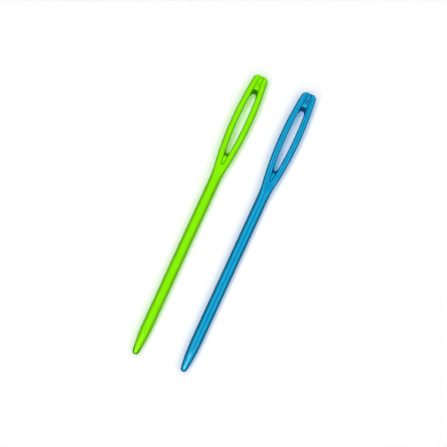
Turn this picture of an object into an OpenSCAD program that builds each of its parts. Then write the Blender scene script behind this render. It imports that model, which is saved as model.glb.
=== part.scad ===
// Two moulded plastic yarn needles, one green and one blue, lying side by side
// with their tips towards -Y. Each needle is a single moulding: a round shaft with
// a blunt tip that parts into two bowed rails round a long eye. Both faces are alike.
// Units are millimetres.

/* [Needle] */
// Length of one needle, from its tip to its square end
needle_l = 70; // [55:1:120]
// Diameter of the round shaft
shaft_d = 2.6; // [2.1:0.05:3.2]

/* [Tip] */
// Radius of the blunt nose
nose_r = 0.75; // [0.4:0.05:0.95]
// Radius of the long arc that tapers the shaft to the nose
taper_r = 46; // [30:1:80]

/* [Head] */
// Width across both rails where they are widest apart
head_w = 4.85; // [4.2:0.05:6]
// Radius of the arc that the outside of each rail follows
bow_r = 77; // [60:1:100]
// Width of the full round that runs along the top and bottom of each rail
rail_w = 1.65; // [1.3:0.05:1.9]
// How far the faces of the rails sit below the surface of the shaft
face_drop = 0.1; // [0.05:0.01:0.2]
// The widest place of the head, measured back from the square end
widest_back = 11.1; // [9:0.1:14]
// Radius of the corners of the square end, seen from above
corner_r = 0.9; // [0.3:0.05:1.1]
// Radius of the edges of the square end, seen from the side
edge_r = 0.4; // [0.1:0.05:0.6]

/* [Eye] */
// Width of the eye where it is widest
eye_w = 1.6; // [1.3:0.05:2.1]
// Radius of the arc that the inside of each rail follows
eye_bow_r = 106; // [85:1:130]
// The widest place of the eye, measured back from the square end
eye_widest_back = 10.2; // [9:0.1:12]
// Where the clear opening begins, measured back from the square end
eye_low_back = 19.4; // [15:0.1:20]
// Where the clear opening ends, measured back from the square end
eye_top_back = 4.35; // [3.5:0.05:6]
// Length of the ramp into the eye at the end near the shaft
ramp_low = 0.85; // [0.8:0.05:1.6]
// Length of the ramp into the eye at the end near the square end
ramp_top = 0.85; // [0.8:0.05:2.1]

/* [Neck and gutters] */
// Length over which the shaft eases down to the faces of the rails
neck_l = 3; // [2:0.1:4]
// Radius of the shoulder where the neck drops to the web
shoulder_r = 0.8; // [0.4:0.05:1]
// How far the shoulder reaches past the place where the rails part
shoulder_past = 1.2; // [1.2:0.1:2]
// Thickness of the web that fills the space between the rails
web_t = 1.2; // [0.8:0.05:1.6]

/* [Pair] */
// Distance between the axes of the two needles
pitch = 11.7; // [7:0.1:20]
// How far the blue needle lies ahead of the green one
lead = 1; // [0:0.1:5]

/* [Hidden] */

shaft_r = shaft_d / 2;
head_t = shaft_d - 2 * face_drop;

// Depth that a cutting block reaches beyond what it trims
spare = 1;
// Least depth to which a rail reaches past the wall of the eye, before the eye is cut
rail_lap = 0.01;
// Share of the space inside the shaft that a rail's hidden start uses
hide_share = 0.8;
// Distance by which a rounding passes the face it runs into, so that the two cross
overrun = 0.02;

// The outside of the rail on the +X side is an arc about this point, on the -X side
bow_x = head_w / 2 - bow_r;
widest_y = needle_l - widest_back;

// The inside of that rail is an arc about this point. It meets its twin where the
// rails part.
eye_bow_x = eye_w / 2 - eye_bow_r;
eye_widest_y = needle_l - eye_widest_back;
part_y = eye_widest_y - sqrt(pow(eye_bow_r, 2) - pow(eye_bow_x, 2));

// Greatest width that is left between the two arcs, and the width a rail needs for it
wall_most = bow_r - eye_bow_r
    + sqrt(pow(bow_x - eye_bow_x, 2) + pow(widest_y - eye_widest_y, 2));
rail_span = max(rail_w, wall_most + rail_lap);

// A rail starts where its whole section lies inside the shaft. Its path is the arc of
// the centre of its outer round.
rail_r = rail_w / 2;
mid_r = bow_r - rail_r;
start_x = hide_share * sqrt(pow(shaft_r - rail_r, 2) - pow(head_t / 2 - rail_r, 2));
start_angle = acos((start_x - bow_x) / mid_r);
end_angle = asin((widest_back + spare) / mid_r);

// Centre of the shoulder's rounding, and the arc that eases the shaft down into it
shoulder_x = head_t / 2 - shoulder_r;
shoulder_y = part_y + shoulder_past - shoulder_r;
ease_run = (pow(neck_l, 2) + pow(face_drop, 2)) / (2 * face_drop);
ease_r = ease_run + shoulder_r;
neck_y = shoulder_y - neck_l;
shoulder_meet_y = shoulder_y + shoulder_r * neck_l / ease_run;

// Length of the tip up to the full shaft, and the height where nose and taper meet
tip_l = nose_r + sqrt(pow(taper_r - nose_r, 2) - pow(taper_r - shaft_r, 2));
nose_y = nose_r - nose_r * (tip_l - nose_r) / (taper_r - nose_r);

// Centre of a corner of the square end, where its rounding just crosses the outline
corner_x = bow_x + sqrt(pow(bow_r - corner_r, 2) - pow(widest_back - corner_r, 2)) + overrun;
corner_y = needle_l - corner_r;

// Radius of an end of the clear opening that just runs into both rails,
// for an end that lies this far from the widest place of the eye
function eye_end_r(away) = overrun
    + (pow(eye_bow_r, 2) - pow(eye_bow_x, 2) - pow(away, 2)) / (2 * (eye_bow_r - away));

low_away = eye_low_back - eye_widest_back;
top_away = eye_widest_back - eye_top_back;

// Profile of the tip: a round nose that runs into a long tapering arc
module tip_profile() {
    intersection() {
        translate([0, nose_r]) circle(nose_r, $fn = 96);
        square([nose_r, nose_y]);
    }
    intersection() {
        translate([shaft_r - taper_r, tip_l]) circle(taper_r, $fn = 720);
        translate([0, nose_y]) square([shaft_r, tip_l - nose_y]);
    }
}

// What the neck's arc and the rounded shoulder take off the end of the shaft's profile
module neck_waste() {
    end_y = shoulder_y + shoulder_r;
    difference() {
        translate([0, neck_y]) square([shaft_r + spare, end_y + spare - neck_y]);
        intersection() {
            translate([shaft_r - ease_r, neck_y]) circle(ease_r, $fn = 720);
            translate([0, neck_y - spare])
                square([shaft_r + spare, shoulder_meet_y + spare - neck_y]);
        }
        translate([shoulder_x, shoulder_y]) circle(shoulder_r, $fn = 96);
        translate([-spare, neck_y - spare]) square([shoulder_x + spare, end_y + spare - neck_y]);
    }
}

// Profile of the shaft, whose neck eases down to a rounded shoulder
module shaft_profile() {
    difference() {
        translate([0, tip_l]) square([shaft_r, shoulder_y + shoulder_r - tip_l]);
        neck_waste();
    }
}

module shaft() {
    rotate([-90, 0, 0]) rotate_extrude($fn = 96) {
        tip_profile();
        shaft_profile();
    }
}

// Section of a rail: straight sides with a full round above and below, or with rounded
// edges and a flat between them where the rail has to be wider than its round
module rail_section() {
    side = head_t - rail_w;
    flat = rail_span - rail_w;
    translate([-flat / 2, 0]) square([rail_span, side], center = true);
    for (s = [-1, 1]) translate([0, s * side / 2]) circle(rail_r, $fn = 96);
    if (flat > 0) {
        translate([-flat / 2, 0]) square([flat, head_t], center = true);
        for (s = [-1, 1]) translate([-flat, s * side / 2]) circle(rail_r, $fn = 96);
    }
}

module rail() {
    translate([bow_x, widest_y, 0]) rotate([0, 0, -start_angle])
        rotate_extrude(angle = start_angle + end_angle, $fn = 720)
            translate([mid_r, 0]) rail_section();
}

// Lens between the inner sides of the rails, from one face to the other
module eye_lens() {
    linear_extrude(height = head_t + 2 * spare, center = true) intersection() {
        translate([eye_bow_x, eye_widest_y]) circle(eye_bow_r, $fn = 720);
        translate([-eye_bow_x, eye_widest_y]) circle(eye_bow_r, $fn = 720);
    }
}

// Space that a rounded eye end takes out of the web. The web's edge is a blunt
// ridge at mid height, with a ramp that curves up and down from it to the faces.
module eye_end(r, ramp) {
    top = web_t / 2 + overrun;
    nose = (pow(ramp, 2) + pow(top, 2)) / (2 * top);
    rotate_extrude($fn = 96) difference() {
        translate([0, -top - spare]) square([r + ramp, 2 * (top + spare)]);
        intersection() {
            translate([r + ramp, top - nose]) circle(nose, $fn = 180);
            translate([r + ramp, nose - top]) circle(nose, $fn = 180);
        }
    }
}

// Web whose sides run hidden along the middle of both rails
module web(from_y, to_y) {
    side_r = bow_r - rail_span / 2;
    linear_extrude(height = web_t, center = true) intersection() {
        translate([bow_x, widest_y]) circle(side_r, $fn = 720);
        translate([-bow_x, widest_y]) circle(side_r, $fn = 720);
        translate([-head_w / 2, from_y]) square([head_w, to_y - from_y]);
    }
}

// Web with the lower gutter, between the shoulder and the eye
module low_web() {
    r = eye_end_r(low_away);
    centre_y = eye_widest_y - low_away + r;
    difference() {
        web(shoulder_y - spare, centre_y);
        translate([0, centre_y, 0]) eye_end(r, ramp_low);
    }
}

// Web with the upper gutter, between the eye and the square end
module top_web() {
    r = eye_end_r(top_away);
    centre_y = eye_widest_y + top_away - r;
    difference() {
        web(centre_y, needle_l + spare);
        translate([0, centre_y, 0]) eye_end(r, ramp_top);
    }
}

// Outline from above that rounds the corners of the square end
module head_plan() {
    wide = head_w + 2 * spare;
    translate([-wide / 2, 0]) square([wide, corner_y]);
    translate([-corner_x, 0]) square([2 * corner_x, needle_l]);
    for (s = [-1, 1]) translate([s * corner_x, corner_y]) circle(corner_r, $fn = 96);
}

// Outline from the side that rounds the edges of the square end
module head_side() {
    tall = head_t + 2 * spare;
    rise = head_t / 2 - edge_r + overrun;
    translate([0, -tall / 2]) square([needle_l - edge_r, tall]);
    translate([0, -rise]) square([needle_l, 2 * rise]);
    for (s = [-1, 1]) translate([needle_l - edge_r, s * rise]) circle(edge_r, $fn = 48);
}

module head_trim() {
    intersection() {
        children();
        linear_extrude(height = head_t + 2 * spare, center = true) head_plan();
        rotate([90, 0, 90])
            linear_extrude(height = head_w + 2 * spare, center = true) head_side();
    }
}

module head() {
    head_trim() {
        difference() {
            union() {
                rail();
                mirror([1, 0, 0]) rail();
            }
            eye_lens();
        }
        low_web();
        top_web();
    }
}

// One needle on its own axis, tip at the origin and square end along +Y
module needle() {
    shaft();
    head();
}

// Puts a needle on the ground beside its twin, so many millimetres along the pair
module lay(side, along) {
    translate([side * pitch / 2, along - (needle_l + lead) / 2, shaft_r]) children();
}

module green_needle() {
    color([0.53, 0.93, 0.05]) lay(-1, 0) needle();
}

module blue_needle() {
    color([0.05, 0.58, 0.8]) lay(1, lead) needle();
}

green_needle();
blue_needle();
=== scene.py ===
import math

import bmesh
import bpy
import numpy as np
from mathutils import Matrix, Vector


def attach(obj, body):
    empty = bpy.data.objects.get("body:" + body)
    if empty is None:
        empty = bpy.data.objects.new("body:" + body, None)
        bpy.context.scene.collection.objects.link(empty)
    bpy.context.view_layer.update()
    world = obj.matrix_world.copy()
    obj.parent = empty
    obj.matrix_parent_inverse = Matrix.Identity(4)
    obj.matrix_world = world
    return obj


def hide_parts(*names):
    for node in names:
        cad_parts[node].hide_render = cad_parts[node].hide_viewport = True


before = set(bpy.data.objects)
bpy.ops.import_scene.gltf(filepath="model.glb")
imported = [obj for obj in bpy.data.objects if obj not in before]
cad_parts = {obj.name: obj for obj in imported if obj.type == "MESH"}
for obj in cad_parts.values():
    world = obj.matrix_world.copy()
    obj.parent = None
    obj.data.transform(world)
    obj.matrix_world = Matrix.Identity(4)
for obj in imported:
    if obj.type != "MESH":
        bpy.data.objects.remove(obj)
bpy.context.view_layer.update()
mm = 0.001

needleShape = {  # millimetres. Down to the lead they are the part's own sizes, apart from the two ramps
    "length": 70.0,
    "shaftRadius": 1.3,
    "noseRadius": 0.75,
    "taperRadius": 46.0,
    "headHalfWidth": 2.425,
    "bowRadius": 77.0,
    "railWidth": 1.65,
    "faceDrop": 0.1,
    "widestBack": 11.1,
    "cornerRadius": 0.9,
    "edgeRadius": 0.4,
    "eyeHalfWidth": 0.8,
    "eyeBowRadius": 106.0,
    "eyeWidestBack": 10.2,
    "eyeLowBack": 19.4,
    "eyeTopBack": 4.35,
    "rampLow": 1.2,         # the part's are 0.85 long: these make the eye's ends look as deep as real ones
    "rampTop": 1.3,
    "neckLength": 3.0,
    "shoulderRadius": 0.8,
    "shoulderPast": 1.2,
    "webHalf": 0.6,
    "pitch": 11.7,          # from one needle's axis to the other's
    "lead": 1.0,            # how far the blue needle lies ahead
    "lipHeight": 0.14,      # bead along the web's edge, where the ramp into the eye begins
    "lipWidth": 0.25,
    "lipBack": 0.1,
    "webBite": 0.35,        # how far the web runs into each rail
    "webLead": 1.0,         # the lower web starts this far before the shoulder, hidden in the shaft
    "railLead": 7.0,        # and the rails start this far before it
    "unionBlend": 0.3,      # how softly shaft, rails and web run into one another
    "crestBlend": 0.15,     # share of that softness on the neck's top and bottom, which mustn't swell
    "crestRun": 1.2,        # the softness grows back to full over this length past the neck
    "railEdgeBlend": 0.35,  # how softly the eye's wall turns into the rail's top
    "trimBlend": 0.04,      # how softly the square end's rounding meets the rails
    "seamHeight": 0.03,     # fine line that the mould's parting left along both sides
    "seamHalf": 0.06,
    "seamDip": 0.5,         # the sides dip in this far above and below, so the line stays in the box
    "seamFade": 0.3,        # the line fades out over this width towards the eye
}
meshRows = {  # along the needle: where a stretch starts and ends, in millimetres, and its number of rows
    "nose": (1.42, 15),             # radians round the nose's circle
    "taper": (0.7, 7.8, 26),        # both from the tip
    "shaft": (8.4, -28, 42),        # from the tip, and from the square end
    "neck": (-27.6, -24.6, 12),     # both from the square end, like the next two
    "parting": (-24.5, -23.1, 20),
    "shoulder": (-23, -21.6, 36),
    "lowRamp": (-21.55, -0.5, 34),  # from the square end, and from the eye's lower end
    "webEdge": (0.46, 10),          # round the eye's two ends, on the web's side
    "eyeEdge": (0.55, 14),          # and on the eye's side
    "eye": (0.62, -0.62, 70),       # from the eye's lower end, and from its upper end
    "topRamp": (0.5, -0.95, 40),    # from the eye's upper end, and from the square end
    "squareEnd": (0.92, 22),        # round its edges
}
meshDetail = {
    "columns": 36,          # points round a quarter of the section
    "capRows": 6,           # rows that close the square end
    "lastRowBack": 1e-4,    # millimetres from the square end to the last row before those
    "fanBack": 27.5,        # up to this far from the square end the rays start on the shaft's axis
    "fanRun": 5,            # and so much further on they start in the rail's middle
    "endInside": 0.3,       # a point so far in from the square end is in the plastic
    "rayUp": 1.6,           # rays that look for the surface end this far above the axis
    "rayOut": 2.4,          # and this far from where they start
    "halvings": 42,
    "mergeDistance": 3e-7,  # metres
}


def softMin(a, b, blend):
    # the lower of two fields, with the corner between them filled over the blend distance
    h = np.clip(0.5 + 0.5 * (b - a) / blend, 0, 1)
    return b * (1 - h) + a * h - blend * h * (1 - h)


def softMax(a, b, blend):
    # the higher of two fields, with the corner between them rounded off over the blend distance
    return -softMin(-a, -b, blend)


def smoothStep(share):
    # 0 up to share 0, 1 from share 1, and three squares less two cubes of the share between
    share = np.clip(share, 0, 1)
    return share * share * (3 - 2 * share)


def roundedCorner(a, b, radius):
    # inside both of two borders, with their corner rounded
    outside = np.hypot(np.maximum(a + radius, 0), np.maximum(b + radius, 0))
    return np.minimum(np.maximum(a, b) + radius, 0) + outside - radius


def shaftField(x, y, z, s):
    # a nose circle, a long taper arc, a plain cylinder, then a neck that eases to the head's face
    r, nose, taper = s["shaftRadius"], s["noseRadius"], s["taperRadius"]
    rho = np.hypot(x, z)
    tipLength = nose + math.sqrt((taper - nose) ** 2 - (taper - r) ** 2)
    noseEnd = nose - nose * (tipLength - nose) / (taper - nose)
    noseField = np.hypot(rho, y - nose) - nose
    taperField = np.hypot(rho - (r - taper), y - tipLength) - taper
    ease = (s["neckLength"] ** 2 + s["faceDrop"] ** 2) / (2 * s["faceDrop"])
    neckStart = s["shoulderY"] - s["neckLength"]
    past = np.clip(y - neckStart, 0, s["neckLength"])
    neckField = rho - (r - ease + np.sqrt(ease ** 2 - past ** 2))
    flat = r - s["faceDrop"] - s["shoulderRadius"]
    endField = np.hypot(np.maximum(rho - flat, 0), np.maximum(y - s["shoulderY"], 0)) - s["shoulderRadius"]
    body = np.where(y < noseEnd, noseField, np.where(y < tipLength, taperField, neckField))
    return np.where(y > s["shoulderY"], endField, body)


def railField(x, y, z, s):
    # a stadium carried along the bow's arc, cut by the eye's own arc
    half = s["railWidth"] / 2
    straight = s["shaftRadius"] - s["faceDrop"] - half
    across = np.hypot(x - s["bowX"], y - s["widestY"]) - (s["bowRadius"] - half)
    stadium = np.hypot(across, np.maximum(z - straight, 0)) - half
    wall = s["eyeBowRadius"] - np.hypot(x - s["eyeBowX"], y - s["eyeWidestY"])
    return softMax(stadium, wall, s["railEdgeBlend"])


def webField(x, y, z, s, end):
    # a plate between the rails with a raised lip, then a ramp down to a blunt ridge at the eye's end
    centreY, radius, ramp, side = end
    top = s["webHalf"]
    nose = (ramp ** 2 + top ** 2) / (2 * top)
    away = np.hypot(x, y - centreY)
    inRamp = np.clip(radius + ramp - away, 0, ramp)
    plate = top - nose + np.sqrt(nose ** 2 - inRamp ** 2)
    lip = s["lipHeight"] * np.exp(-((away - radius - ramp - s["lipBack"]) / s["lipWidth"]) ** 2)
    slope = np.hypot(1, inRamp / np.sqrt(nose ** 2 - inRamp ** 2))
    sheet = (z - plate - lip) / slope
    hole = radius - away
    beyond = side * (y - centreY)   # the web lies on this side of the centre only
    sides = x - s["eyeHalfWidth"] - s["webBite"]
    return np.maximum(np.maximum(sheet, hole), np.maximum(beyond, sides))


def needleField(x, y, z, s):
    # below zero inside the plastic; shaft, rails and web run together softly, the square end is rounded
    x, z = np.abs(x), np.abs(z)
    soft = s["unionBlend"]
    lowWeb = np.maximum(webField(x, y, z, s, s["lowEnd"]), s["shoulderY"] - s["webLead"] - y)
    topWeb = webField(x, y, z, s, s["topEnd"])
    head = softMin(railField(x, y, z, s), np.minimum(lowWeb, topWeb), soft)
    head = np.maximum(head, s["shoulderY"] - s["railLead"] - y)
    crest = np.clip(1 - (z / s["shaftRadius"]) ** 2, s["crestBlend"], 1)
    pastNeck = smoothStep((y - s["partY"]) / s["crestRun"])
    body = softMin(shaftField(x, y, z, s), head, soft * (crest + (1 - crest) * pastNeck))
    outline = np.hypot(x - s["bowX"], y - s["widestY"]) - s["bowRadius"]
    face = z - (s["shaftRadius"] - s["faceDrop"])
    end = y - s["length"]
    corners = roundedCorner(outline, end, s["cornerRadius"])
    edges = roundedCorner(face, end, s["edgeRadius"])
    trim = np.where(y > s["widestY"], np.maximum(corners, edges), -1)
    outside = smoothStep((x - s["eyeHalfWidth"]) / s["seamFade"])
    seam = (np.exp(-(z / s["seamDip"]) ** 2) - np.exp(-(z / s["seamHalf"]) ** 2)) * outside
    return softMax(body, trim, s["trimBlend"]) + s["seamHeight"] * seam


def derivedSizes(s):
    # adds what follows from the sizes: the arcs' centres, where the rails part, and the eye's two ends
    s = dict(s)
    s["bowX"] = s["headHalfWidth"] - s["bowRadius"]
    s["widestY"] = s["length"] - s["widestBack"]
    s["eyeBowX"] = s["eyeHalfWidth"] - s["eyeBowRadius"]
    s["eyeWidestY"] = s["length"] - s["eyeWidestBack"]
    halfChordSquared = s["eyeBowRadius"] ** 2 - s["eyeBowX"] ** 2
    s["partY"] = s["eyeWidestY"] - math.sqrt(halfChordSquared)
    s["shoulderY"] = s["partY"] + s["shoulderPast"] - s["shoulderRadius"]

    def endRadius(away):
        # the circle that touches both of the eye's arcs and ends so far from its widest place
        return (halfChordSquared - away ** 2) / (2 * (s["eyeBowRadius"] - away))

    low = s["eyeLowBack"] - s["eyeWidestBack"]
    top = s["eyeWidestBack"] - s["eyeTopBack"]
    # that circle's centre and radius, the ramp's length, and 1 or -1 for a web below or above it
    s["lowEnd"] = (s["eyeWidestY"] - low + endRadius(low), endRadius(low), s["rampLow"], 1)
    s["topEnd"] = (s["eyeWidestY"] + top - endRadius(top), endRadius(top), s["rampTop"], -1)
    return s


def crossing(inside, outside, field):
    # halves the gap between a point in the plastic and one outside it until they meet at the surface
    for step in range(meshDetail["halvings"]):
        middle = (inside + outside) / 2
        within = field(middle) < 0
        inside = np.where(within, middle, inside)
        outside = np.where(within, outside, middle)
    return (inside + outside) / 2


def stationList(s, eyeLow, eyeTop):
    # places along the needle, evenly apart in a stretch. Round an edge a place's distance from it is the
    # reach times (one less the cosine of an even turn), so rows are closest where the shape turns fastest
    def stretch(name, start, end):
        first, last, count = meshRows[name]
        return np.linspace(start + first, end + last, count)

    def roundEdge(reach, count, turn=math.pi / 2):
        return reach * (1 - np.cos(np.linspace(0, turn, count)))

    length = s["length"]
    noseTurn, noseCount = meshRows["nose"]
    intoWeb = roundEdge(*meshRows["webEdge"])
    intoEye = roundEdge(*meshRows["eyeEdge"])
    intoEnd = roundEdge(*meshRows["squareEnd"])
    places = [
        roundEdge(s["noseRadius"], noseCount, noseTurn),
        stretch("taper", 0, 0),
        stretch("shaft", 0, length),
        stretch("neck", length, length),
        stretch("parting", length, length),
        stretch("shoulder", length, length),
        stretch("lowRamp", length, eyeLow),
        eyeLow - intoWeb,
        eyeLow + intoEye,
        stretch("eye", eyeLow, eyeTop),
        eyeTop - intoEye,
        eyeTop + intoWeb,
        stretch("topRamp", eyeTop, length),
        length - meshDetail["lastRowBack"] - intoEnd,
    ]
    return np.unique(np.round(np.concatenate(places), 6))


def needleQuarter(s):
    # a quarter of the needle from two parameters, the place along it and the turn round its rail. At each
    # place a fan of rays leaves a centre in the rail. A point is (centre + reach * cos(turn), place,
    # reach * sin(turn)), where reach is how far its ray goes before it leaves the plastic
    def alongAxis(y):
        return needleField(0, y, 0, s)

    middle = np.array(s["eyeWidestY"])
    eyeLow = float(crossing(np.array(s["shoulderY"]), middle, alongAxis))
    eyeTop = float(crossing(np.array(s["length"] - meshDetail["endInside"]), middle, alongAxis))
    y = stationList(s, eyeLow, eyeTop)[:, None]
    outer = s["bowX"] + np.sqrt(s["bowRadius"] ** 2 - (y - s["widestY"]) ** 2)
    cornerY = s["length"] - s["cornerRadius"]
    fromBow, fromWidest = s["bowRadius"] - s["cornerRadius"], s["widestBack"] - s["cornerRadius"]
    cornerX = s["bowX"] + math.sqrt(fromBow ** 2 - fromWidest ** 2)
    rounded = cornerX + np.sqrt(np.maximum(s["cornerRadius"] ** 2 - np.maximum(y - cornerY, 0) ** 2, 0))
    outer = np.where(y > cornerY, np.minimum(outer, rounded), outer)
    wall = np.maximum(s["eyeBowX"] + np.sqrt(s["eyeBowRadius"] ** 2 - (y - s["eyeWidestY"]) ** 2), 0)
    fanStart = s["length"] - meshDetail["fanBack"]
    centre = smoothStep((y - fanStart) / meshDetail["fanRun"]) * (outer + wall) / 2
    topHeight = crossing(np.zeros_like(y), np.full_like(y, meshDetail["rayUp"]),
                         lambda z: needleField(0, y, z, s))
    inEye = (y > eyeLow) & (y < eyeTop)
    topHeight = np.where(inEye, 0, topHeight)
    innerAngle = np.where(inEye, math.pi, np.arctan2(topHeight, -centre))
    angle = innerAngle * (1 - np.linspace(0, 1, meshDetail["columns"])[None, :])
    dx, dz = np.cos(angle), np.sin(angle)
    reach = crossing(np.zeros_like(angle), np.full_like(angle, meshDetail["rayOut"]),
                     lambda r: needleField(centre + dx * r, y, dz * r, s))
    x, z = centre + dx * reach, dz * reach
    outsideEye = ~inEye[:, 0]
    x[outsideEye, 0] = 0
    z[~outsideEye, 0] = 0
    z[:, -1] = 0
    return x, np.broadcast_to(y, x.shape), z


def gridFaces(rows, columns):
    # quads between neighbouring rows and columns
    i = np.arange(rows - 1)[:, None] * columns + np.arange(columns - 1)[None, :]
    return np.stack([i, i + 1, i + columns + 1, i + columns], -1).reshape(-1, 4)


def needleMesh(name, s, side, along):
    # the quarter, mirrored left to right and top to bottom, and moved to the needle's place in the pair
    x, y, z = needleQuarter(s)
    # the last rows close the flat end: they are its edge, sunk step by step to mid height
    caps = np.linspace(1, 0, meshDetail["capRows"] + 1)[1:, None]
    x = np.concatenate([x, np.repeat(x[-1:], len(caps), 0)])
    z = np.concatenate([z, z[-1:] * caps])
    y = np.concatenate([y, np.repeat(y[-1:], len(caps), 0)])
    rows, columns = x.shape
    faces = gridFaces(rows, columns)
    points, quads = [], []
    for mirrorX in (1, -1):
        for mirrorZ in (1, -1):
            place = np.stack([
                (mirrorX * x + side * s["pitch"] / 2) * mm,
                (y + along - (s["length"] + s["lead"]) / 2) * mm,
                (mirrorZ * z + s["shaftRadius"]) * mm,
            ], -1).reshape(-1, 3)
            turn = faces if mirrorX * mirrorZ < 0 else faces[:, ::-1]
            quads.append(turn + rows * columns * len(points))
            points.append(place)
    mesh = bpy.data.meshes.new(name)
    mesh.from_pydata(np.concatenate(points), [], np.concatenate(quads).tolist())
    work = bmesh.new()
    work.from_mesh(mesh)
    bmesh.ops.remove_doubles(work, verts=work.verts, dist=meshDetail["mergeDistance"])
    bmesh.ops.recalc_face_normals(work, faces=work.faces)
    work.to_mesh(mesh)
    work.free()
    mesh.shade_smooth()
    needle = bpy.data.objects.new(name, mesh)
    bpy.context.scene.collection.objects.link(needle)
    print(name, len(mesh.vertices), "vertices", len(mesh.polygons), "faces")
    return needle


class Wire:
    # a socket that Python's operators can be used on
    def __init__(self, tree, socket):
        self.tree, self.socket = tree, socket

    def maths(self, operation, *others):
        return self.tree.add("ShaderNodeMath", {"operation": operation}, [self, *others])

    def __add__(self, other):
        return self.maths("ADD", other)

    def __sub__(self, other):
        return self.maths("SUBTRACT", other)

    def __rsub__(self, other):
        return self.tree.add("ShaderNodeMath", {"operation": "SUBTRACT"}, [other, self])

    def __mul__(self, other):
        return self.maths("MULTIPLY", other)

    __radd__, __rmul__ = __add__, __mul__


class Nodes:
    # a material's or world's node tree, built from Python
    def __init__(self, owner):
        owner.use_nodes = True
        self.tree = owner.node_tree
        self.tree.nodes.clear()

    def add(self, kind, settings=None, inputs=(), output=0):
        # a node of this kind: its settings first, then values or links for its sockets, by name or in order
        node = self.tree.nodes.new(kind)
        for key, value in (settings or {}).items():
            if key == "stops":
                ramp = node.color_ramp
                while len(ramp.elements) < len(value):
                    ramp.elements.new(0.5)
                for element, (position, colour) in zip(ramp.elements, value):
                    element.position, element.color = position, colour
            else:
                setattr(node, key, value)
        pairs = inputs.items() if isinstance(inputs, dict) else enumerate(inputs)
        for key, value in pairs:
            socket = node.inputs[key]
            if isinstance(value, Wire):
                self.tree.links.new(value.socket, socket)
            else:
                socket.default_value = value
        return Wire(self, node.outputs[output]) if len(node.outputs) else node

    def clamped(self, value):
        # the value, kept between 0 and 1
        return self.add("ShaderNodeClamp", inputs=[value])


greenPlastic = {
    "colourWithPaintedShade": {   # the plastic's own colour on faces that look up, then painted light and shade: a painted light line, the painted shade of the flanks, and the painted shade in the head's hollows
        0.0: (0.245, 0.92, 0.002, 1),
        0.1: (0.26, 0.94, 0.003, 1),
        0.3: (0.195, 0.7, 0.002, 1),
        0.55: (0.185, 0.66, 0.002, 1),
        0.8: (0.17, 0.6, 0.002, 1),
        1.0: (0.015, 0.16, 0.0, 1),
    },
    "through": (0.4, 0.72, 0.0, 1),     # what passes one skin of the plastic on its way to the floor
    "glossTint": (0.5, 1.0, 0.05, 1),
    "scatterRadius": (1.2, 2.0, 0.3),   # millimetres for red, green and blue
}
bluePlastic = {
    # a painted light line at 0.1, painted shade on the flanks from 0.3 and in the hollows at 1, as for the
    # green
    "colourWithPaintedShade": {
        0.0: (0.003, 0.28, 0.56, 1),
        0.1: (0.009, 0.47, 0.8, 1),
        0.3: (0.003, 0.25, 0.47, 1),
        0.55: (0.002, 0.16, 0.33, 1),
        0.8: (0.001, 0.13, 0.28, 1),
        1.0: (0.0, 0.045, 0.16, 1),
    },
    "through": (0.03, 0.5, 0.72, 1),
    "glossTint": (0.4, 1.0, 1.0, 1),
    "scatterRadius": (0.3, 1.2, 2.0),
}
plasticFinish = {
    "gloss": 0.35,
    "roughness": 0.12,
    "roughnessSpread": 0.05,
    "refraction": 1.5,
    "scatter": 0.15,
    "swirlScale": 420,       # per metre: faint flow marks a few millimetres long
    "swirlStretch": 0.16,    # less than 1 draws them out along the needle
    "swirlDepth": 0.1,
    "sideShade": 0.8,        # how deep the painted shade gets on upright faces
    "hollowHalf": 1.0,       # millimetres from the needle's axis: the hollows of the head end here
    "hollowEdge": 0.2,       # over this width, in millimetres
    "hollowTop": 0.628,      # millimetres above or below mid height: the hollows' painted shade begins here
    "hollowRun": 0.05,       # and is deepest so much nearer to mid height
    "hollowRoughness": 0.8,  # what the deepest places are rougher by: core pins aren't polished so well
    "grainScale": 5200,      # the mould's fine polish
    "scratchScale": 3800,    # and the fine lines that it leaves along the needle
    "scratchStretch": 0.02,
    "scratchShare": 0.4,     # of the bump, the grain has the rest
    "bumpDistance": 0.00001,
    "bumpStrength": 0.35,
}


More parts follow.
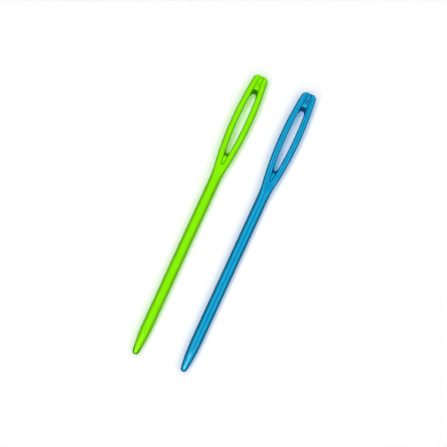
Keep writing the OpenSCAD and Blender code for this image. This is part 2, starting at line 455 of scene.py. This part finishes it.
def plastic(name, look, finish):
    # glossy moulded plastic: faint flow marks in the colour, painted shade on the flanks and in the head's
    # hollows with a painted light line, grain and fine lines in the gloss and the bump
    material = bpy.data.materials.new(name)
    nodes = Nodes(material)
    place = nodes.add("ShaderNodeTexCoord", output="Object")
    facing = nodes.add("ShaderNodeTexCoord", output="Normal")
    drawn = nodes.add("ShaderNodeMapping", inputs={
        "Vector": place, "Scale": (1, finish["swirlStretch"], 1)})
    swirl = nodes.add("ShaderNodeTexNoise", inputs={
        "Vector": drawn, "Scale": finish["swirlScale"], "Detail": 3,
        "Roughness": 0.55, "Distortion": 1.2})
    grain = nodes.add("ShaderNodeTexNoise", inputs={
        "Vector": place, "Scale": finish["grainScale"], "Detail": 2, "Roughness": 0.5})
    scratched = nodes.add("ShaderNodeMapping", inputs={
        "Vector": place, "Scale": (1, finish["scratchStretch"], 1)})
    scratch = nodes.add("ShaderNodeTexNoise", inputs={
        "Vector": scratched, "Scale": finish["scratchScale"], "Detail": 2, "Roughness": 0.7})
    # painted shade: 0 on a face that looks up, growing as the face turns upright, and 1 in a hollow of the
    # head; faint flow marks vary it
    level = nodes.add("ShaderNodeSeparateXYZ", inputs=[facing], output="Z")
    # painted shade: the colour darkens as the face turns upright, away from the light above
    side = (1 - level * level) * finish["sideShade"]
    across = nodes.add("ShaderNodeSeparateXYZ", inputs=[place], output="X").maths("ABSOLUTE")
    height = nodes.add("ShaderNodeSeparateXYZ", inputs=[place], output="Z")
    fromAxis = (across - needleShape["pitch"] / 2 * mm).maths("ABSOLUTE")
    fromMiddle = (height - needleShape["shaftRadius"] * mm).maths("ABSOLUTE")
    inside = nodes.clamped((finish["hollowHalf"] * mm - fromAxis) * (1 / finish["hollowEdge"] / mm))
    low = nodes.clamped((finish["hollowTop"] * mm - fromMiddle) * (1 / finish["hollowRun"] / mm))
    # painted shade in the gutters and the eye's ramps; the same mask makes them rougher
    hollow = inside * low
    shadeAndSwirl = side.maths("MAXIMUM", hollow) + (swirl - 0.5) * finish["swirlDepth"]
    colour = nodes.add("ShaderNodeValToRGB", {"stops": list(look["colourWithPaintedShade"].items())}, [shadeAndSwirl])
    marks = (grain + scratch - 1) * finish["roughnessSpread"]
    roughness = hollow * finish["hollowRoughness"] + marks + finish["roughness"]
    bump = nodes.add("ShaderNodeBump", inputs={
        "Strength": finish["bumpStrength"], "Distance": finish["bumpDistance"],
        "Height": grain * (1 - finish["scratchShare"]) + scratch * finish["scratchShare"]})
    shader = nodes.add("ShaderNodeBsdfPrincipled", inputs={
        "Base Color": colour, "Roughness": roughness, "Normal": bump, "IOR": finish["refraction"],
        "Specular IOR Level": finish["gloss"], "Specular Tint": look["glossTint"],
        "Subsurface Weight": finish["scatter"], "Subsurface Scale": mm,
        "Subsurface Radius": look["scatterRadius"]})
    # rays on their way to a lamp pass the body tinted, once on the way in and once on the way out
    toLamp = nodes.add("ShaderNodeLightPath", output="Is Shadow Ray")
    tinted = nodes.add("ShaderNodeBsdfTransparent", inputs={"Color": look["through"]})
    both = nodes.add("ShaderNodeMixShader", inputs={0: toLamp, 1: shader, 2: tinted})
    nodes.add("ShaderNodeOutputMaterial", inputs=[both])
    print(name, len(nodes.tree.nodes), "nodes")
    return material


pieces = {
    "greenNeedle": {
        "node": "green_needle", "slot": "green_plastic", "look": greenPlastic,
        "side": -1, "along": 0,
    },
    "blueNeedle": {
        "node": "blue_needle", "slot": "blue_plastic", "look": bluePlastic,
        "side": 1, "along": needleShape["lead"],
    },
}
sizes = derivedSizes(needleShape)
for name, piece in pieces.items():
    needle = needleMesh(name, sizes, piece["side"], piece["along"])
    needle.data.materials.append(plastic(piece["slot"], piece["look"], plasticFinish))
    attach(needle, piece["node"])
    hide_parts(piece["node"])

studio = {
    "floorSize": 3.0,       # metres
    "floorWhite": 1.0,      # the floor's grey as the camera sees it
    "floorAlbedo": 0.5,     # as it lights the needles
    "floorMirrored": 0.2,   # and in their gloss, kept low, so that the plastic's edges keep their colour
    "worldLevel": 0.05,     # the faint light that comes from all round, which the gloss doesn't show
    "lampDistance": 0.5,    # metres
}
lamps = {  # soft boxes: the degrees from straight above that they fill, and how bright they are, white as 1
    "leftSoft": {"across": (-14, -30), "along": (-50, 50), "level": 4.9, "for": "surfaces"},
    "rightSoft": {"across": (15, 46), "along": (-50, 50), "level": 2.04, "for": "surfaces"},
    "leftGloss": {"across": (-33, -43), "along": (-50, 50), "level": 4.5, "for": "gloss"},
    "rightGloss": {"across": (33, 43), "along": (-50, 50), "level": 3.4, "for": "gloss"},
    "tipGloss": {"across": (-9, 9), "along": (-17, -38), "level": 28.0, "for": "gloss"},
}


def floorMaterial(s):
    # a pale matt floor that is white to the camera and still takes the shadow
    material = bpy.data.materials.new("paleFloor")
    nodes = Nodes(material)

    def paint(grey):
        return nodes.add("ShaderNodeBsdfDiffuse", inputs={"Color": (grey, grey, grey, 1)})

    seen = nodes.add("ShaderNodeLightPath", output="Is Camera Ray")
    mirrored = nodes.add("ShaderNodeLightPath", output="Is Glossy Ray")
    unseen = nodes.add("ShaderNodeMixShader", inputs={
        0: mirrored, 1: paint(s["floorAlbedo"]), 2: paint(s["floorMirrored"])})
    both = nodes.add("ShaderNodeMixShader", inputs={0: seen, 1: unseen, 2: paint(s["floorWhite"])})
    nodes.add("ShaderNodeOutputMaterial", inputs=[both])
    return material


def floorMesh(size):
    # one square, flat at the height the needles rest on
    corners = np.array([[-1, -1, 0], [1, -1, 0], [1, 1, 0], [-1, 1, 0]]) * size / 2
    mesh = bpy.data.meshes.new("floor")
    mesh.from_pydata(corners, [], [[0, 1, 2, 3]])
    floor = bpy.data.objects.new("floor", mesh)
    bpy.context.scene.collection.objects.link(floor)
    return floor


def softBox(name, lamp, distance):
    # a flat lamp square to its middle direction, with the watts that give its face the wanted level
    across, along = np.radians(lamp["across"]), np.radians(lamp["along"])
    sideways, forwards = np.tan(across.mean()), np.tan(along.mean())
    toLamp = Vector((sideways, forwards, 1)).normalized()
    light = bpy.data.lights.new(name, "AREA")
    light.shape = "RECTANGLE"
    light.size = 2 * distance * math.tan(abs(across[1] - across[0]) / 2)
    light.size_y = 2 * distance * math.tan(abs(along[1] - along[0]) / 2)
    light.energy = lamp["level"] * math.pi * light.size * light.size_y
    # only shadow rays are tinted by the plastic, so the wide boxes' light all comes by them
    light.cycles.use_multiple_importance_sampling = lamp["for"] == "gloss"
    box = bpy.data.objects.new(name, light)
    bpy.context.scene.collection.objects.link(box)
    # the lamp's own X axis stays square to the needles, so its Y axis runs along them
    turn = (-toLamp).to_track_quat("-Z", "X" if abs(sideways) > abs(forwards) else "Y")
    box.matrix_world = Matrix.Translation(toLamp * distance) @ turn.to_matrix().to_4x4()
    box.visible_camera = False
    box.visible_glossy = lamp["for"] == "gloss"       # narrow boxes draw light lines in the gloss
    box.visible_diffuse = lamp["for"] == "surfaces"   # wide ones light the matt surfaces
    print(name, round(light.energy, 2), "watts")
    return box


floor = floorMesh(studio["floorSize"])
floor.data.materials.append(floorMaterial(studio))
print("floor", studio["floorSize"], "metres wide")

world = bpy.data.worlds.new("studio")
bpy.context.scene.world = world
worldNodes = Nodes(world)
seen = worldNodes.add("ShaderNodeLightPath", output="Is Camera Ray")
level = seen + (1 - seen) * studio["worldLevel"]   # white to the camera, faint as light
background = worldNodes.add("ShaderNodeBackground", inputs={"Color": (1, 1, 1, 1), "Strength": level})
worldNodes.add("ShaderNodeOutputWorld", inputs=[background])
world.cycles_visibility.glossy = False

for name, lamp in lamps.items():
    softBox(name, lamp, studio["lampDistance"])

view = {
    "lens": 100,
    "sensor": 36,
    "widthSeen": 102.45,      # millimetres across the picture at the needles' height
    "turn": 24.72,            # degrees that the needles lean clockwise in the picture
    "centre": (0.18, 0.25),   # millimetres, the point of the surface at the middle of the picture
    "clip": (0.01, 10),
}
camera = bpy.data.cameras.new("camera")
camera.lens = view["lens"]
camera.sensor_width = view["sensor"]
camera.clip_start, camera.clip_end = view["clip"]
distance = view["widthSeen"] * mm / 2 / (camera.sensor_width / 2 / camera.lens)
height = distance + needleShape["shaftRadius"] * mm
cameraObject = bpy.data.objects.new("camera", camera)
bpy.context.scene.collection.objects.link(cameraObject)
cameraObject.matrix_world = (
    Matrix.Translation((view["centre"][0] * mm, view["centre"][1] * mm, height))
    @ Matrix.Rotation(math.radians(view["turn"]), 4, "Z")
)
bpy.context.scene.camera = cameraObject
bpy.context.scene.view_settings.view_transform = "Standard"
print("camera", round(height, 4), "metres up")
